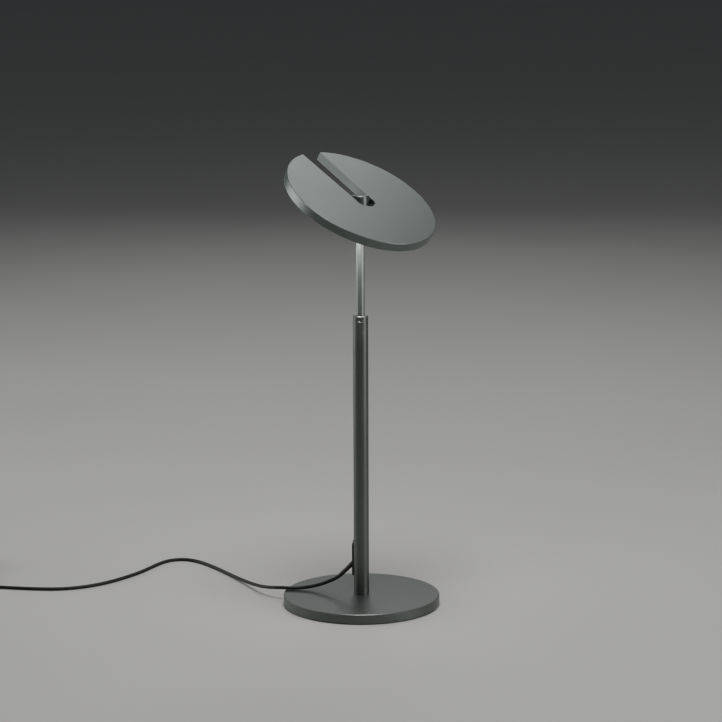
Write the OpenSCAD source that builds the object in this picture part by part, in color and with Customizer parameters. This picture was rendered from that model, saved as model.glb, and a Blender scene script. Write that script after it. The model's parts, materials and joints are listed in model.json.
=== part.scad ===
// Table lamp: a slotted round head, tilting on a telescopic and swivelling pole,
// on a round weighted base, with a low-voltage lead and a plug-in supply.
// Millimetres, +Z up. The origin is the centre of the base's underside, on the table.
// The hinge axis runs along Y, and the head's slot opens towards -X.

/* [Base] */
// Diameter of the base disc
base_d = 180; // [150:1:220]
// Height of the base's top face above the table
base_top = 12; // [11:0.5:18]
// Chamfer on the edges of the base and of the head
edge_c = 0.6; // [0.3:0.1:0.8]
// Thickness of the foot pad
pad_t = 2; // [1.6:0.1:2.4]
// How far the foot pad stands proud of the base disc
pad_proud = 0.8; // [0.4:0.1:1.2]
// Distance from the base's rim to the foot pad
pad_inset = 4; // [3:0.5:10]
// Diameter of the hole through the foot pad
pad_hole_d = 30; // [26:1:50]
// Diameter of the bolt that holds the column
bolt_d = 8; // [6:0.5:8]
// Height of the bolt's head
bolt_head_h = 3.5; // [3:0.1:3.8]
// Thickness of the washer under the bolt's head
washer_t = 1.6; // [1.2:0.1:1.8]

/* [Column] */
// Outer diameter of the column
column_d = 17.6; // [17:0.1:21.2]
// Wall of the column tube
column_wall = 1.8; // [1.5:0.1:2]
// Height of the joint between the column and its collar
column_top = 332; // [280:1:400]
// Depth that the column sits in the base
column_seat = 1; // [0.6:0.1:2]
// Length of the threaded plug in the foot of the column
foot_plug_l = 18; // [15:1:20]
// Height of the visible collar ring above the column
collar_h = 6.2; // [5:0.1:9]
// Width of the shadow groove under the collar ring
groove_w = 0.6; // [0.4:0.1:1]
// Length of the collar's spigot inside the column
spigot_l = 21; // [18:1:30]

/* [Stem] */
// Outer diameter of the stem
stem_d = 9.6; // [8:0.1:9.8]
// Wall of the stem tube
stem_wall = 1.4; // [1:0.1:1.6]
// Height of the hinge axis above the column's top, at rest
stem_out = 136.5; // [110:0.5:160]
// Length of the stem inside the column, at rest
stem_inside = 95.5; // [80:0.5:110]
// Length of the sliding carriage at the stem's lower end
carriage_l = 16; // [12:1:20]
// Radial clearance of parts that slide or turn in each other
running_gap = 0.05; // [0.03:0.01:0.08]

/* [Hinge] */
// Diameter of the knuckle on top of the stem
knuckle_d = 20; // [18:0.5:21]
// Height of the knuckle's top above the hinge axis
knuckle_up = 6.7; // [5:0.1:8]
// Depth of the knuckle's straight part below the hinge axis
knuckle_down = 7; // [5:0.5:8]
// Length of the knuckle's taper towards the stem
knuckle_taper = 9; // [7:0.5:10]
// Diameter of the hinge pin
pin_d = 5; // [4.6:0.1:5.2]
// Diameter of the cable bore through the hinge pin
pin_bore = 3; // [2.6:0.1:3]
// Diameter of the friction washers
washer_d = 8.6; // [8.2:0.1:9.4]

/* [Head] */
// Diameter of the head
head_d = 180; // [150:1:216]
// Thickness of the head
head_t = 10.5; // [10:0.1:12.5]
// Tilt of the head at rest, slot end up
head_tilt = 30; // [0:1:40]
// Thickness of the head's top skin
skin_t = 2.5; // [2:0.1:2.8]
// Thickness of the head's rim
rim_wall = 3; // [2:0.1:4]
// Width of the slot at its round end
slot_w = 24.6; // [24.6:0.1:29.6]
// Opening angle of each side of the slot
slot_flare = 1.05; // [0:0.05:2]
// Distance from the hinge axis to the centre of the slot's round end
slot_reach = 5; // [5:0.5:8]
// Thickness of the wall around the slot
slot_wall = 3; // [2:0.1:4]
// Thickness of the light's circuit board
board_t = 1.6; // [1:0.1:1.6]
// Thickness of the diffuser
diffuser_t = 1.8; // [1.5:0.1:2]
// Number of rings of lights on the board
led_rings = 3; // [2:1:4]
// Angle between lights next to each other in a ring
led_step = 14; // [10:1:20]

/* [Lead] */
// Diameter of the lead
cord_d = 4; // [3:0.1:4]
// Direction of the cable outlet around the column
outlet_az = 207; // [200:1:214]
// Height of the outlet strip's lower end
outlet_low = 33; // [32:0.5:36]
// Height of the outlet strip's upper end
outlet_high = 72; // [66:0.5:80]
// Height at which the lead leaves the outlet
outlet_exit = 47; // [46:0.5:48]
// Length of the strain relief
relief_l = 22; // [20:0.5:24]
// Radius of the coil at the middle of its turns
coil_r = 24; // [23.5:0.5:24.5]
// Number of turns that lie side by side in the coil
coil_across = 4; // [3:1:4]
// Number of layers of turns in the coil
coil_layers = 2; // [1:1:3]

/* [Hidden] */
$fn = 96;
eps = 0.01;
thread_gap = 0.02;
fit_gap = 0.2;

// Base and column
base_low = pad_proud;
bore_d = column_d - 2 * column_wall;
plug_low = base_top - column_seat;
bolt_head_d = bolt_d + 5;
bolt_washer_d = bolt_d + 8;
counterbore_d = bolt_washer_d + 2;
bolt_gap = 0.3;
bolt_head_top = base_low + bolt_gap + bolt_head_h;
counterbore_top = bolt_head_top + washer_t;
bolt_thread = 12;
key_w = 2;
key_depth = 0.7;
spigot_low = column_top - spigot_l;
collar_top = column_top + collar_h;
bush_wall = 1.15;
bush_d = stem_d + 2 * bush_wall;
bush_low = spigot_low + 5;
bush_high = collar_top - 2.6;
brake_h = 2.4;

// Stem: heights at rest
hinge_z = column_top + stem_out;
stem_high = hinge_z - 6;
stem_low = column_top - stem_inside;
stem_bore = stem_d - 2 * stem_wall;
end_flange = 2;
retainer_d = bore_d - 1.6;
carriage_low = stem_low + 0.3;
carriage_high = carriage_low + carriage_l;
stop_ring_h = 4;
knuckle_low = hinge_z - knuckle_down - knuckle_taper;
knuckle_foot_d = stem_d + 1.6;
flat_y = knuckle_d / 2 - 0.8;
screw_y = 6;
screw_d = 3;
stem_lead_d = 1.6;

// Head: heights from the head's middle plane, the hinge axis
head_r = head_d / 2;
head_high = head_t / 2;
ceiling = head_high - skin_t;
pad_film = 0.4;
board_high = ceiling - pad_film;
board_low = board_high - board_t;
led_h = 0.8;
diffuser_low = -head_high + 0.2;
diffuser_high = diffuser_low + diffuser_t;
boss_x = 8;
boss_y = slot_w / 2 + 8.6;
board_gap = 0.5;
frame_wall = 1.4;
frame_margin = slot_wall + fit_gap + frame_wall;
bush_outer_d = pin_d + 2;
wire_notch_w = 6;
dimmer_x = slot_reach + slot_w / 2 + frame_margin + 2;
dimmer_l = 14;
dimmer_w = 24;
dimmer_t = 1;
chip_h = 1.2;
coil_part_h = 1.5;
spring_d = 3;
board_inner_r = norm([dimmer_x + dimmer_l, dimmer_w / 2]) + board_gap;
board_outer_r = head_r - rim_wall - fit_gap - frame_wall - board_gap;
ring_pitch = (board_outer_r - board_inner_r) / led_rings;
led_l = 3;
led_w = 2.6;
led_reach = 180 - asin((slot_w / 2 + frame_margin + board_gap + led_l) / board_inner_r);
led_last = floor(led_reach / led_step) * led_step;
post_r = board_inner_r + ring_pitch;
post_angles = [-126, -78, -26, 26, 78, 126];
screw_core_d = 1.6;
screw_hole_d = 2.2;

// Outlet, in a frame turned to outlet_az
outlet_w = 6;
outlet_r = column_d / 2 + 1.9;
neck_w = 4.4;
neck_margin = 3;
relief_root_d = cord_d + 1.6;
relief_tip_d = cord_d + 0.3;
button_d = 3.2;
button_z = outlet_high + 1.7;
inner_cord_d = cord_d - 0.6;
coiled_low = outlet_exit + 19;

// Route of the free lead, from the strain relief's tip to the coil
LEAD_ROUTE = [
    [-22.8, -11.6, 32.2], [-26, -13.2, 29.2], [-33.4, -17.1, 24.6], [-46, -24.4, 18.8],
    [-57.5, -32.2, 15.6], [-67.5, -40.2, 14.3], [-77.6, -46.7, 14.3], [-90, -50.2, 13],
    [-108.6, -48.6, 10.2], [-129.8, -41.9, 7.3], [-151.6, -33.2, 4.9], [-174.6, -24.2, 3.2],
    [-197.2, -15.9, 2.3], [-218.6, -9, 2.1], [-238.8, -3.3, 2.1], [-255.4, 0.4, 2.1],
    [-270.4, 2.4, 2.1], [-283, 1.3, 2.1], [-292.8, -3.4, 2.1], [-299, -11.5, 2.1],
    [-301, -22.5, 2.1], [-298.9, -38, 2.1], [-293.5, -58, 2.1], [-288.2, -79, 2.1],
    [-285.2, -99.5, 2.1], [-283.6, -124, 2.1], [-285.5, -150, 2.1], [-292.5, -173, 2.1],
    [-305, -193, 2.1], [-323, -209, 2.1], [-344, -223, 2.1], [-366, -236, 2.1],
    [-388, -249, 2.5], [-410, -262, 3]
];
coil_centre = [-425, -236];
tie_t = 0.8;
coil_low = tie_t + 0.1;
coil_half = coil_across * cord_d / 2 + fit_gap;
coil_high = coil_low + coil_layers * cord_d + 2 * fit_gap;
tie_az = 30;
tie_span = 24;
tail_az = 210;
tail_l = 34;
tail_z = coil_high - cord_d / 2 - 0.2;
outer_turn_r = coil_r + (coil_across - 1) / 2 * cord_d;
tail_start = [
    coil_centre[0] + outer_turn_r * cos(tail_az),
    coil_centre[1] + outer_turn_r * sin(tail_az)
];
tail_heading = tail_az - 90;
supply_l = 58;
supply_w = 34;
supply_h = 24;
supply_round = 4;
contact_d = 4;
contact_l = 19;
contact_pitch = 19;

// ---- Shapes that repeat ----

// Disc with both edges chamfered
module chamfered_disc(r, low, high, c) {
    rotate_extrude()
        polygon([[0, low], [r - c, low], [r, low + c], [r, high - c], [r - c, high], [0, high]]);
}

// Round tube
module tube(outer_d, inner_d, low, high) {
    difference() {
        translate([0, 0, low]) cylinder(d = outer_d, h = high - low);
        translate([0, 0, low - 1]) cylinder(d = inner_d, h = high - low + 2);
    }
}

// Outline of the slot, grown by a margin all round, and open past the rim
module slot_outline(margin) {
    r = slot_w / 2 + margin;
    mouth_x = -head_r - 4;
    mouth_y = (r + (slot_reach - mouth_x) * sin(slot_flare)) / cos(slot_flare);
    touch = [slot_reach + r * sin(slot_flare), r * cos(slot_flare)];
    translate([slot_reach, 0]) circle(r = r);
    polygon([
        [touch[0], -touch[1]], touch, [mouth_x, mouth_y], [mouth_x, -mouth_y]
    ]);
}

// Cutter for the chamfer along the slot's upper edge, with the head's middle plane at z = 0
module slot_edge_cut() {
    r = slot_w / 2;
    low = head_high - edge_c;
    translate([slot_reach, 0, low]) cylinder(r1 = r, r2 = r + 2 * edge_c, h = 2 * edge_c);
    for (side = [-1, 1]) scale([1, side, 1])
        translate([slot_reach + r * sin(slot_flare), r * cos(slot_flare), low])
            rotate([0, 0, -slot_flare]) rotate([90, 0, -90]) linear_extrude(2 * head_r)
                polygon([[eps, -eps], [-2 * edge_c, 2 * edge_c], [eps, 2 * edge_c]]);
}

// Outline of the two solid bearing blocks beside the slot, grown by a margin
module boss_outline(margin) {
    square([2 * (boss_x + margin), 2 * (boss_y + margin)], center = true);
}

// Flat plate of the head's own outline, clear of the slot's wall
module head_plate(outer_r, margin, low, high) {
    translate([0, 0, low]) linear_extrude(high - low) difference() {
        circle(r = outer_r);
        slot_outline(slot_wall + margin);
    }
}

// Places its children on the head: the head's middle plane becomes z = 0
module on_head() {
    translate([0, 0, hinge_z]) rotate([0, head_tilt, 0]) children();
}

// Cylinder that lies along Y, between two distances
module along_y(d, low, high) {
    translate([0, low, 0]) rotate([-90, 0, 0]) cylinder(d = d, h = high - low);
}

// Turns to face the outlet: x points straight out of the column
module at_outlet() {
    rotate([0, 0, outlet_az]) children();
}

// ---- Swept leads ----

function unit(v) = v / norm(v);
function heading(p, i) = unit(p[min(i + 1, len(p) - 1)] - p[max(i - 1, 0)]);
function between(a, b, c, d, t) =
    b + t * (c - a) / 2 + t * t * (a - 2.5 * b + 2 * c - d / 2)
    + t * t * t * (1.5 * b - 1.5 * c + (d - a) / 2);
function smooth(p, steps) = concat(
    [for (i = [0:len(p) - 2], s = [0:steps - 1])
        between(p[max(i - 1, 0)], p[i], p[i + 1], p[min(i + 2, len(p) - 1)], s / steps)],
    [p[len(p) - 1]]
);
function ring_points(p, i, r, sides, side_hint) =
    let (
        t = heading(p, i),
        u = unit(cross(side_hint, t)),
        w = cross(t, u)
    )
    [for (k = [0:sides - 1]) p[i] + r * (cos(360 * k / sides) * u + sin(360 * k / sides) * w)];

// One closed tube of flat-sided rings along a list of points
module swept(p, d, side_hint = [0, 0, 1], sides = 8) {
    last = (len(p) - 1) * sides;
    polyhedron(
        points = [for (i = [0:len(p) - 1]) each ring_points(p, i, d / 2, sides, side_hint)],
        faces = concat(
            [[for (k = [0:sides - 1]) k]],
            [[for (k = [sides - 1:-1:0]) last + k]],
            [for (i = [0:len(p) - 2], k = [0:sides - 1])
                let (a = i * sides, b = a + sides, n = (k + 1) % sides)
                [a + k, b + k, b + n, a + n]]
        )
    );
}

// ---- Base ----

module base_plate() {
    color("#5f6863") difference() {
        chamfered_disc(base_d / 2, base_low, base_top, edge_c);
        translate([0, 0, base_low - 1])
            cylinder(r = base_d / 2 - pad_inset, h = pad_t - pad_proud + 1);
        translate([0, 0, -1]) cylinder(d = bolt_d + 2 * bolt_gap, h = base_top + 2);
        translate([0, 0, -1]) cylinder(d = counterbore_d, h = counterbore_top + 1);
        translate([0, 0, plug_low])
            cylinder(d = column_d + 2 * running_gap, h = column_seat + 1);
    }
}

module foot_pad() {
    color("#1d1e1e") tube(base_d - 2 * pad_inset - 2 * fit_gap, pad_hole_d, 0, pad_t);
}

module base_bolt() {
    color("#9a9c9c") difference() {
        union() {
            translate([0, 0, bolt_head_top - bolt_head_h])
                cylinder(d = bolt_head_d, h = bolt_head_h);
            translate([0, 0, bolt_head_top - eps])
                cylinder(d = bolt_d, h = plug_low + bolt_thread - bolt_head_top);
        }
        translate([0, 0, bolt_head_top - bolt_head_h - 1])
            cylinder(d = bolt_d * 0.7, h = bolt_head_h, $fn = 6);
    }
}

module bolt_washer() {
    color("#b4b6b5")
        tube(bolt_washer_d, bolt_d + 2 * bolt_gap, bolt_head_top, counterbore_top);
}

module column_foot() {
    color("#8b8d8c")
        tube(bore_d, bolt_d + 2 * thread_gap, plug_low, plug_low + foot_plug_l);
}

module column_tube() {
    color("#5a635e") difference() {
        tube(column_d, bore_d, plug_low, column_top);
        translate([-bore_d / 2 - key_depth, -key_w / 2, plug_low + foot_plug_l])
            cube([bore_d / 2, key_w, column_top]);
        at_outlet() outlet_neck(fit_gap / 2);
        at_outlet() translate([0, 0, button_z]) rotate([0, 90, 0])
            cylinder(d = button_d / 2 + fit_gap, h = column_d);
    }
}

module column_collar() {
    color("#5a635e") difference() {
        union() {
            translate([0, 0, spigot_low]) cylinder(d = bore_d, h = spigot_l + eps);
            translate([0, 0, column_top]) cylinder(d = column_d - 1.2, h = groove_w + eps);
            rotate_extrude() polygon([
                [0, column_top + groove_w], [column_d / 2, column_top + groove_w],
                [column_d / 2, collar_top - 0.8], [column_d / 2 - 0.8, collar_top],
                [0, collar_top]
            ]);
        }
        translate([0, 0, spigot_low - 1])
            cylinder(d = stem_d + 0.6, h = spigot_l + collar_h + 2);
        translate([0, 0, spigot_low - 1]) cylinder(d = bush_d, h = bush_high - spigot_low + 1);
    }
}

module collar_bush() {
    color("#d9d6cc") tube(bush_d, stem_d + 2 * running_gap, bush_low, bush_high);
}

module brake_ring() {
    color("#2a2a2a") tube(bush_d, stem_d + 2 * running_gap, bush_low - brake_h, bush_low);
}

module brake_retainer() {
    color("#9a9c9c") tube(bush_d, stem_d + 0.6, spigot_low, bush_low - brake_h);
}

// ---- Outlet, lead and supply ----

// The outlet's neck, which fills the opening in the column's wall
module outlet_neck(margin) {
    half = neck_w / 2 + margin;
    reach = column_wall + 1;
    low = outlet_low + neck_margin - margin;
    high = outlet_high - neck_margin + margin;
    translate([column_d / 2 - reach, -half, low]) cube([reach + 1, 2 * half, high - low]);
}

module cable_outlet() {
    color("#161717") at_outlet() difference() {
        union() {
            difference() {
                intersection() {
                    translate([outlet_r - 4, 0, 0]) rotate([0, 90, 0]) linear_extrude(4) {
                        for (z = [outlet_low + outlet_w / 2, outlet_high - outlet_w / 2])
                            translate([-z, 0]) circle(d = outlet_w);
                        translate([-outlet_high + outlet_w / 2, -outlet_w / 2])
                            square([outlet_high - outlet_low - outlet_w, outlet_w]);
                    }
                    cylinder(r = outlet_r + 0.2, h = 2 * outlet_high);
                }
                cylinder(d = column_d, h = 2 * outlet_high);
            }
            outlet_neck(0);
        }
        translate([outlet_r, 0, outlet_exit]) rotate([0, -45, 0])
            cylinder(d = cord_d + fit_gap, h = 3 * outlet_w, center = true);
    }
}

module outlet_button() {
    color("#c9cccb") at_outlet() translate([0, 0, button_z]) {
        translate([column_d / 2 - column_wall, 0, 0]) rotate([0, 90, 0])
            cylinder(d = button_d / 2, h = column_wall + 0.6);
        translate([column_d / 2 + 0.1, 0, 0]) rotate([0, 90, 0])
            cylinder(d1 = button_d, d2 = button_d * 0.6, h = 1.3, $fn = 32);
    }
}

module strain_relief() {
    color("#161717") at_outlet() difference() {
        translate([outlet_r, 0, outlet_exit]) rotate([0, 135, 0])
            translate([0, 0, -relief_root_d])
                cylinder(
                    d1 = relief_root_d + 0.4, d2 = relief_tip_d, h = relief_l + relief_root_d
                );
        translate([outlet_r - 20, -10, 0]) cube([20, 20, 2 * outlet_high]);
    }
}

// The bend from the outlet to the column's middle
module inner_cord() {
    start = [outlet_r - 1.6, 0, outlet_exit + 1.6];
    color("#222323") at_outlet()
        swept(smooth([
            start, [5.4, 0, outlet_exit + 6], [1.6, 0, outlet_exit + 11.5], [0, 0, coiled_low]
        ], 4), inner_cord_d, [0, 1, 0]);
}

// The coiled stretch that gives way when the stem slides
module coiled_lead() {
    color("#222323") translate([0, 0, coiled_low])
        cylinder(d = bore_d - 5, h = stem_low - end_flange - 1 - coiled_low);
}

module mains_lead() {
    color("#1b1c1c") swept(smooth(LEAD_ROUTE, 2), cord_d);
}

module lead_coil() {
    color("#1b1c1c") translate([coil_centre[0], coil_centre[1], 0]) rotate_extrude()
        translate([coil_r - coil_half, coil_low]) square([2 * coil_half, coil_high - coil_low]);
}

module lead_tie() {
    gap = 0.05;
    color("#2b2b2b") translate([coil_centre[0], coil_centre[1], 0]) rotate([0, 0, tie_az])
        rotate_extrude(angle = tie_span) difference() {
            translate([coil_r - coil_half - tie_t - gap, coil_low - tie_t - gap])
                square([2 * (coil_half + tie_t + gap), coil_high - coil_low + 2 * (tie_t + gap)]);
            translate([coil_r - coil_half - gap, coil_low - gap])
                square([2 * (coil_half + gap), coil_high - coil_low + 2 * gap]);
        }
}

// Places its children where the lead leaves the coil, with x along the lead
module at_tail() {
    translate([tail_start[0], tail_start[1], 0]) rotate([0, 0, tail_heading]) children();
}

module lead_tail() {
    color("#1b1c1c") at_tail()
        swept([
            [0, 0, tail_z], [12, 0, tail_z + 0.8], [24, 0, tail_z + 3.2], [tail_l, 0, supply_h / 2]
        ], cord_d);
}

module supply_body() {
    color("#1b1c1c") at_tail() translate([tail_l - 1, 0, 0]) linear_extrude(supply_h)
        translate([0, -supply_w / 2]) {
            translate([supply_round, 0]) square([supply_l - 2 * supply_round, supply_w]);
            translate([0, supply_round]) square([supply_l, supply_w - 2 * supply_round]);
            for (x = [supply_round, supply_l - supply_round],
                 y = [supply_round, supply_w - supply_round])
                translate([x, y]) circle(r = supply_round);
        }
}

module supply_contacts() {
    color("#b9bbba") at_tail()
        for (side = [-1, 1])
            translate([tail_l - 1 + supply_l, side * contact_pitch / 2, supply_h / 2])
                rotate([0, 90, 0]) cylinder(d = contact_d, h = contact_l);
}

// ---- Slide ----

module slide_carriage() {
    color("#d9d6cc") {
        tube(bore_d - 2 * running_gap, stem_d + 2 * running_gap, carriage_low, carriage_high);
        translate([-bore_d / 2 - key_depth + fit_gap, -key_w / 2 + fit_gap, carriage_low])
            cube([key_depth + 0.3, key_w - 2 * fit_gap, carriage_l]);
    }
}

// ---- Stem ----

module stem_tube() {
    color("#8f9692") tube(stem_d, stem_bore, stem_low, stem_high);
}

module stop_ring() {
    low = carriage_high + 0.3;
    color("#9a9c9c") tube(retainer_d, stem_d, low, low + stop_ring_h);
}

module end_retainer() {
    color("#9a9c9c") {
        tube(retainer_d, stem_lead_d + 1, stem_low - end_flange, stem_low);
        tube(stem_bore, stem_lead_d + 1, stem_low - eps, stem_low + 6);
    }
}

module hinge_knuckle() {
    straight_low = -knuckle_down;
    color("#5a635e") translate([0, 0, hinge_z]) difference() {
        rotate_extrude() polygon([
            [0, straight_low - knuckle_taper], [knuckle_foot_d / 2, straight_low - knuckle_taper],
            [knuckle_d / 2, straight_low], [knuckle_d / 2, knuckle_up - 0.8],
            [knuckle_d / 2 - 0.8, knuckle_up], [0, knuckle_up]
        ]);
        translate([0, 0, straight_low - knuckle_taper - 1])
            cylinder(d = stem_d, h = stem_high - knuckle_low + 1);
        translate([0, 0, -10]) cylinder(d = stem_bore - 1.8, h = 10);
        along_y(pin_d + 2 * thread_gap, -knuckle_d, knuckle_d);
        for (side = [-1, 1]) scale([1, side, 1]) along_y(washer_d + 0.6, flat_y, knuckle_d);
        translate([0, screw_y, 0]) cylinder(d = screw_d + 2 * thread_gap, h = knuckle_up + 1);
    }
}

module hinge_pin() {
    color("#b4b6b5") translate([0, 0, hinge_z]) difference() {
        along_y(pin_d, -boss_y, boss_y);
        along_y(pin_bore, -boss_y - 1, boss_y + 1);
        translate([0, 0, -pin_d]) cylinder(d = pin_bore, h = pin_d);
    }
}

module friction_washers() {
    color("#2a2a2a") translate([0, 0, hinge_z])
        for (side = [-1, 1]) scale([1, side, 1]) difference() {
            along_y(washer_d, flat_y, slot_w / 2 - 0.1);
            along_y(pin_d + 2 * thread_gap, flat_y - 1, slot_w);
        }
}

module clamp_screw() {
    color("#2b2c2c") translate([0, screw_y, hinge_z]) difference() {
        translate([0, 0, pin_d / 2 + 0.02]) cylinder(d = screw_d, h = knuckle_up - pin_d / 2 - 0.4);
        translate([0, 0, knuckle_up - 2]) cylinder(d = 1.5, h = 3, $fn = 6);
    }
}

module stem_lead() {
    color("#e4e1d8") translate([0, 0, hinge_z])
        swept([
            [0, 0, stem_low - end_flange - hinge_z + 0.5], [0, 0, stem_low - hinge_z + 60],
            [0, 0, -60], [0, 0, -8], [0, 0, -3], [0, 0.5, -1], [0, 1.5, 0], [0, 4, 0],
            [0, boss_y - 0.4, 0]
        ], stem_lead_d, [1, 0, 0]);
}

// ---- Head ----

module head_shell() {
    color("#6d7771") on_head() difference() {
        chamfered_disc(head_r, -head_high, head_high, edge_c);
        translate([0, 0, -head_t]) linear_extrude(2 * head_t) slot_outline(0);
        for (side = [-1, 1]) scale([1, 1, side]) slot_edge_cut();
        difference() {
            head_plate(head_r - rim_wall, 0, -head_t, ceiling);
            translate([0, 0, -2 * head_t]) linear_extrude(4 * head_t) boss_outline(0);
        }
        along_y(bush_outer_d, -boss_y - 1, boss_y + 1);
        for (a = post_angles) rotate([0, 0, a]) translate([post_r, 0, 0])
            cylinder(d = screw_core_d, h = ceiling + 1.4);
    }
}

module hinge_bushes() {
    color("#c8a25a") on_head()
        for (side = [-1, 1]) scale([1, side, 1]) difference() {
            along_y(bush_outer_d, slot_w / 2 + 0.5, boss_y);
            along_y(pin_d + 2 * running_gap, 0, boss_y + 1);
        }
}

// A thin sheet of the circuit board's outline
module board_sheet(low, high, hole_d) {
    difference() {
        head_plate(board_outer_r, fit_gap + frame_wall + board_gap, low, high);
        translate([0, 0, low - 1]) cylinder(r = board_inner_r, h = high - low + 2);
        for (a = post_angles) rotate([0, 0, a]) translate([post_r, 0, low - 1])
            cylinder(d = hole_d, h = high - low + 2);
    }
}

module thermal_film() {
    color("#b9b7c4") on_head() board_sheet(board_high, ceiling, screw_hole_d);
}

module led_board() {
    color("#f2f1ea") on_head() board_sheet(board_low, board_high, screw_hole_d);
}

module leds() {
    color("#f4d860") on_head()
        for (k = [0:led_rings - 1], a = [-led_last:led_step:led_last])
            rotate([0, 0, a])
                translate([board_inner_r + (k + 0.5) * ring_pitch, 0, board_low - led_h / 2])
                    cube([led_l, led_w, led_h], center = true);
}

module board_screws() {
    color("#b4b6b5") on_head()
        for (a = post_angles) rotate([0, 0, a]) translate([post_r, 0, 0]) {
            translate([0, 0, board_low - 1]) cylinder(d = 3.6, h = 1);
            translate([0, 0, board_low - eps])
                cylinder(d = screw_core_d, h = ceiling - board_low + 1.2);
        }
}

module light_frame() {
    outer_r = head_r - rim_wall - fit_gap;
    color("#f2f1ea") on_head() translate([0, 0, diffuser_high])
        linear_extrude(board_high - diffuser_high) difference() {
            circle(r = outer_r);
            slot_outline(slot_wall + fit_gap);
            boss_outline(fit_gap);
            difference() {
                circle(r = outer_r - frame_wall);
                slot_outline(frame_margin);
                boss_outline(fit_gap + frame_wall);
            }
            translate([-wire_notch_w / 2, boss_y]) square([wire_notch_w, 2 * frame_wall]);
        }
}

module diffuser() {
    color("#f7f5ee") on_head() difference() {
        head_plate(head_r - rim_wall - fit_gap, fit_gap, diffuser_low, diffuser_high);
        translate([0, 0, -head_t]) linear_extrude(2 * head_t) boss_outline(fit_gap);
    }
}

module dimmer_board() {
    color("#2f6b4a") on_head() translate([dimmer_x, 0, board_low]) {
        translate([0, -dimmer_w / 2, 0]) cube([dimmer_l, dimmer_w, dimmer_t]);
        translate([3, -8, -chip_h]) cube([5, 5, chip_h]);
        translate([4, 2, -coil_part_h]) cube([7, 6, coil_part_h]);
    }
}

module touch_spring() {
    color("#c9cccb") on_head() translate([dimmer_x + dimmer_l / 2, 0, board_low + dimmer_t])
        cylinder(d = spring_d, h = ceiling - board_low - dimmer_t);
}

module head_lead() {
    z = board_low + 0.2;
    pad = [dimmer_x + 2, dimmer_w / 2 + stem_lead_d / 2 + 0.1, z];
    color("#e4e1d8") on_head()
        swept(smooth([
            [0, boss_y + 0.6, 0], [0, boss_y + 2.2, 0], [4, boss_y + 5, z],
            [pad[0] / 2, boss_y + 4, z], [pad[0] - 6, boss_y - 1, z], pad
        ], 3), stem_lead_d, [0, 0, 1]);
}

base_plate();
foot_pad();
column_foot();
base_bolt();
bolt_washer();
column_tube();
column_collar();
collar_bush();
brake_ring();
brake_retainer();
cable_outlet();
outlet_button();
inner_cord();
coiled_lead();
strain_relief();
mains_lead();
lead_coil();
lead_tie();
lead_tail();
supply_body();
supply_contacts();
slide_carriage();
stem_tube();
stop_ring();
end_retainer();
hinge_knuckle();
hinge_pin();
friction_washers();
clamp_screw();
stem_lead();
head_shell();
hinge_bushes();
thermal_film();
led_board();
leds();
board_screws();
light_frame();
diffuser();
dimmer_board();
touch_spring();
head_lead();
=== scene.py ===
"""Looks of a table lamp: a slotted round head on a telescopic pole, a round base, a lead and its supply.

Metres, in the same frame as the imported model: +Z up, the origin under the middle of the base, the
hinge axis along Y and the head's slot open towards -X.
"""

import json
import math

import bmesh
import bpy
from mathutils import Matrix, Vector


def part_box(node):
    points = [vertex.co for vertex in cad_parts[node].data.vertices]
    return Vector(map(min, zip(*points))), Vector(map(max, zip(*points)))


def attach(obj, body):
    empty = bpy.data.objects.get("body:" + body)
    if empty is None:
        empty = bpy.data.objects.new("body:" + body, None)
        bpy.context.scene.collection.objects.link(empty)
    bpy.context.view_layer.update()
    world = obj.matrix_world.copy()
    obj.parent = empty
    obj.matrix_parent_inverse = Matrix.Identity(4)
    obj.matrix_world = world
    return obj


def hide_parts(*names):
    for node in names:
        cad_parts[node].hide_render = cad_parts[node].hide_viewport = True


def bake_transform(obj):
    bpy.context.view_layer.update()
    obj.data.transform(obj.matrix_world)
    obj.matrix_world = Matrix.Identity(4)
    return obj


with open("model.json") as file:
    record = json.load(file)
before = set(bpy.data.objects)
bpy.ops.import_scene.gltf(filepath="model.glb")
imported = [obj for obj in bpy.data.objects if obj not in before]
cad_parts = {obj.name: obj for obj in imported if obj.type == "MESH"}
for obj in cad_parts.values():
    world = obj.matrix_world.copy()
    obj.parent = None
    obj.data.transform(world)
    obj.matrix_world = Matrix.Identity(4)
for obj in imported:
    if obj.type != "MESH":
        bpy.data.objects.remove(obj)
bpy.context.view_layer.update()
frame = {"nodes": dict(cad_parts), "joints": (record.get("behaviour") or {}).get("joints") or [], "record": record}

MM = 0.001
MICRON = 0.000001
SKIN = 0.05 * MM
NEAR = 0.01 * MM

# ---- Sizes taken from the frame ----

base_low, base_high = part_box("base_plate")
pad_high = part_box("foot_pad")[1]
column_low, column_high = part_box("column_tube")
collar_low, collar_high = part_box("column_collar")
bush_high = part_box("collar_bush")[1]
stem_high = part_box("stem_tube")[1]
head_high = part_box("head_shell")[1]
washer_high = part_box("bolt_washer")[1]
coil_low, coil_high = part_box("lead_coil")
joints = {joint["name"]: joint for joint in frame["joints"]}
hinge = Vector(joints["head_tilt"]["pos_m"])

# ---- Sizes of the visible pieces ----

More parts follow.
